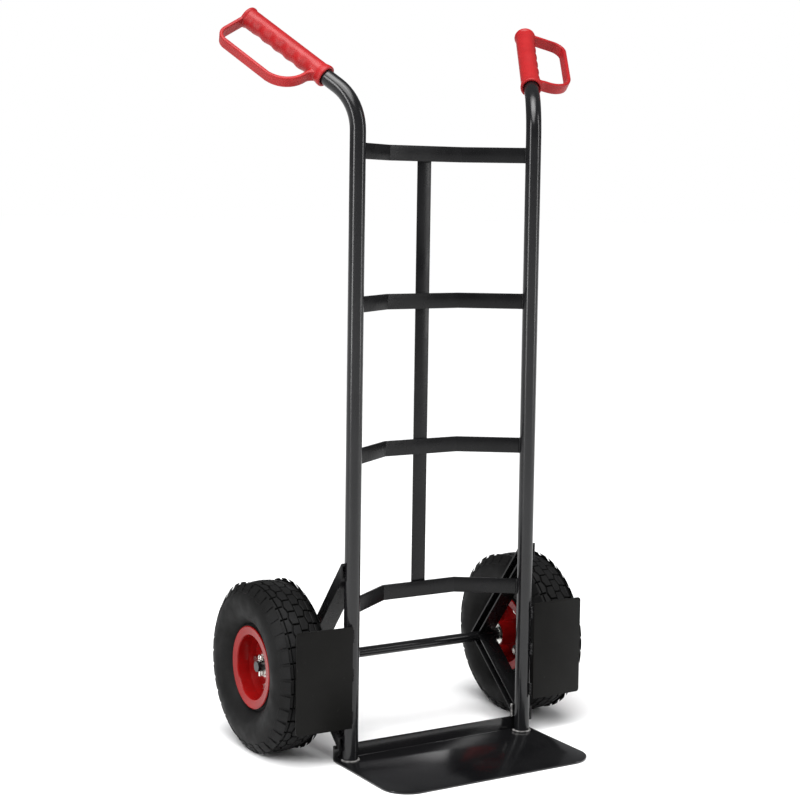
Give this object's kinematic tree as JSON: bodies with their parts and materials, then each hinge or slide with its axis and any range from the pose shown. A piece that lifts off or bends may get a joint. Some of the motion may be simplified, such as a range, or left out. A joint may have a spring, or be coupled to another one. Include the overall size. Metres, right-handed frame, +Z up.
{
  "type": "hand truck",
  "caption": "Upright tubular hand truck with a flat toe plate, curved flat crossbars, guarded hand grips and pneumatic wheels on a through axle.",
  "frame": {"origin": "on the floor, midway between the axes of the two uprights, on the underside of the toe plate", "axes": "+Z up along the uprights, +Y behind the load towards the axle, +X to the right seen from the toe plate's side"},
  "size_m": [0.6218, 0.42, 1.1293],
  "materials": {
    "frame_paint": "semi-gloss black powder coat",
    "grip_plastic": "satin moulded red",
    "rim_paint": "gloss red",
    "tyre_rubber": "matt black rubber",
    "valve_rubber": "matt",
    "zinc": "bright zinc plate"
  },
  "bodies": {
    "frame": {"upright_left": "frame_paint", "upright_right": "frame_paint", "crossbar_top": "frame_paint", "crossbar_upper": "frame_paint", "crossbar_lower": "frame_paint", "crossbar_bottom": "frame_paint", "centre_strap": "frame_paint", "toe_plate": "frame_paint", "guard_left": "frame_paint", "guard_right": "frame_paint", "brace_upper_left": "frame_paint", "brace_upper_right": "frame_paint", "brace_lower_left": "frame_paint", "brace_lower_right": "frame_paint", "axle": "frame_paint", "spacers": "zinc", "axle_washers": "zinc", "split_pins": "zinc", "bearing_cores": "zinc", "base_welds": "frame_paint", "guard_welds": "frame_paint", "grip_left": "grip_plastic", "grip_right": "grip_plastic"},
    "wheel_left": {"tyre_left": "tyre_rubber", "inner_tube_left": "valve_rubber", "rim_outer_left": "rim_paint", "rim_inner_left": "rim_paint", "hub_left": "rim_paint", "bearing_rings_left": "zinc", "rim_bolts_left": "zinc", "rim_nuts_left": "zinc", "valve_left": "valve_rubber"},
    "wheel_right": {"tyre_right": "tyre_rubber", "inner_tube_right": "valve_rubber", "rim_outer_right": "rim_paint", "rim_inner_right": "rim_paint", "hub_right": "rim_paint", "bearing_rings_right": "zinc", "rim_bolts_right": "zinc", "rim_nuts_right": "zinc", "valve_right": "valve_rubber"}
  },
  "joints": [
    {"name": "wheel_left_spin", "type": "hinge", "parent": "frame", "child": "wheel_left", "pos_m": [-0.233, 0.11909, 0.13], "axis": [1, 0, 0], "continuous": true},
    {"name": "wheel_right_spin", "type": "hinge", "parent": "frame", "child": "wheel_right", "pos_m": [0.233, 0.11909, 0.13], "axis": [1, 0, 0], "continuous": true}
  ]
}
